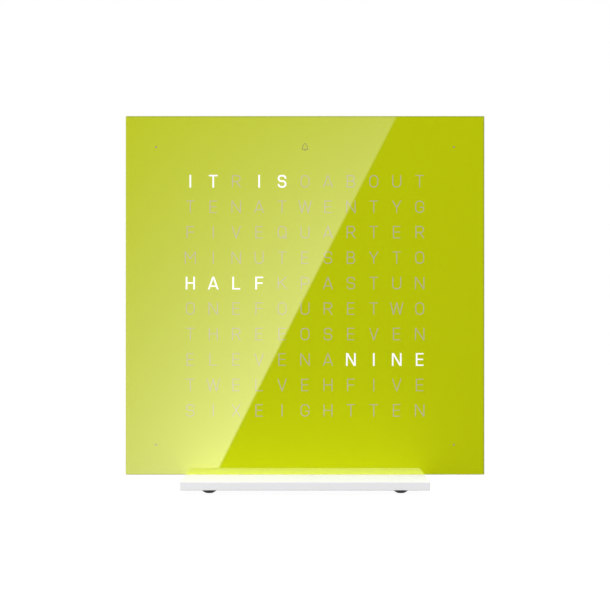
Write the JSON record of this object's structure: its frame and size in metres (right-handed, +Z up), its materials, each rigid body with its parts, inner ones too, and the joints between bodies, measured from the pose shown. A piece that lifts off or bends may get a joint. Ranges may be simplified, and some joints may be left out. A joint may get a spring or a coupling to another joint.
{
  "type": "word clock",
  "caption": "Square table word clock: glossy acrylic face over a lit letter grid, slim metal housing, base plate on bumpers, press buttons behind and a snooze key on top.",
  "frame": {"origin": "at table height, under the centre of the base plate", "axes": "+X to the viewer's right, +Y from the face towards the back, +Z up"},
  "size_m": [0.135, 0.08, 0.1398],
  "materials": {
    "lime_acrylic": "clear acrylic with a lime back coat, polished",
    "foam_tape": "closed-cell foam tape",
    "diffuser_film": "milky film",
    "white_moulding": "fine matt moulded",
    "circuit_board": "solder resist over laminate",
    "led_body": "white package with yellow phosphor",
    "sensor_body": "dark clear package",
    "chip_body": "black moulding compound",
    "crystal_can": "nickelled can",
    "buzzer_body": "fine matt moulded",
    "capacitor_can": "drawn can on a black foot",
    "cell_case": "nickelled case",
    "clip_steel": "nickelled spring clip",
    "housing_metal": "brushed, clear anodised",
    "cover_metal": "fine bead-blasted, clear anodised",
    "screw_steel": "zinc plated",
    "button_plastic": "fine matt moulded",
    "switch_body": "black moulded",
    "spring_steel": "spring strip",
    "socket_plastic": "black moulded",
    "contact_metal": "plated contact",
    "plinth_metal": "white powder coat",
    "base_metal": "white powder coat, satin",
    "bumper_rubber": "dark grey rubber bumper"
  },
  "bodies": {
    "body": {"front_cover": "lime_acrylic", "cover_tape": "foam_tape", "diffuser_sheet": "diffuser_film", "light_grid": "white_moulding", "led_board": "circuit_board", "letter_leds": "led_body", "minute_leds": "led_body", "alarm_led": "led_body", "light_sensor": "sensor_body", "controller_chip": "chip_body", "led_drivers": "chip_body", "crystal": "crystal_can", "buzzer": "buzzer_body", "capacitors": "capacitor_can", "coin_cell": "cell_case", "coin_cell_holder": "clip_steel", "housing_frame": "housing_metal", "rear_cover": "cover_metal", "rear_cover_screws": "screw_steel", "board_pads": "bumper_rubber", "button_switches": "switch_body", "snooze_switch": "switch_body", "snooze_spring": "spring_steel", "power_jack": "socket_plastic", "jack_pin": "contact_metal", "plinth": "plinth_metal", "nut_bar": "screw_steel", "base_plate": "base_metal", "base_screws": "screw_steel", "foot_front_left": "bumper_rubber", "foot_front_right": "bumper_rubber", "foot_rear_left": "bumper_rubber", "foot_rear_right": "bumper_rubber"},
    "hour_key": {"hour_button": "button_plastic", "hour_plunger": "switch_body"},
    "minute_key": {"minute_button": "button_plastic", "minute_plunger": "switch_body"},
    "alarm_key": {"alarm_button": "button_plastic", "alarm_plunger": "switch_body"},
    "brightness_key": {"brightness_button": "button_plastic", "brightness_plunger": "switch_body"},
    "snooze_bar": {"snooze_key": "cover_metal", "snooze_plunger": "switch_body"}
  },
  "joints": [
    {"name": "hour_press", "type": "slide", "parent": "body", "child": "hour_key", "axis": [0, -1, 0], "range_m": [0, 0.0004], "stiffness_N_per_m": 400, "springref_m": -0.002},
    {"name": "minute_press", "type": "slide", "parent": "body", "child": "minute_key", "axis": [0, -1, 0], "range_m": [0, 0.0004], "stiffness_N_per_m": 400, "springref_m": -0.002},
    {"name": "alarm_press", "type": "slide", "parent": "body", "child": "alarm_key", "axis": [0, -1, 0], "range_m": [0, 0.0004], "stiffness_N_per_m": 400, "springref_m": -0.002},
    {"name": "brightness_press", "type": "slide", "parent": "body", "child": "brightness_key", "axis": [0, -1, 0], "range_m": [0, 0.0004], "stiffness_N_per_m": 400, "springref_m": -0.002},
    {"name": "snooze_press", "type": "slide", "parent": "body", "child": "snooze_bar", "axis": [0, 0, -1], "range_m": [0, 0.0006], "stiffness_N_per_m": 300, "springref_m": -0.002, "deforming": ["snooze_spring"]}
  ]
}
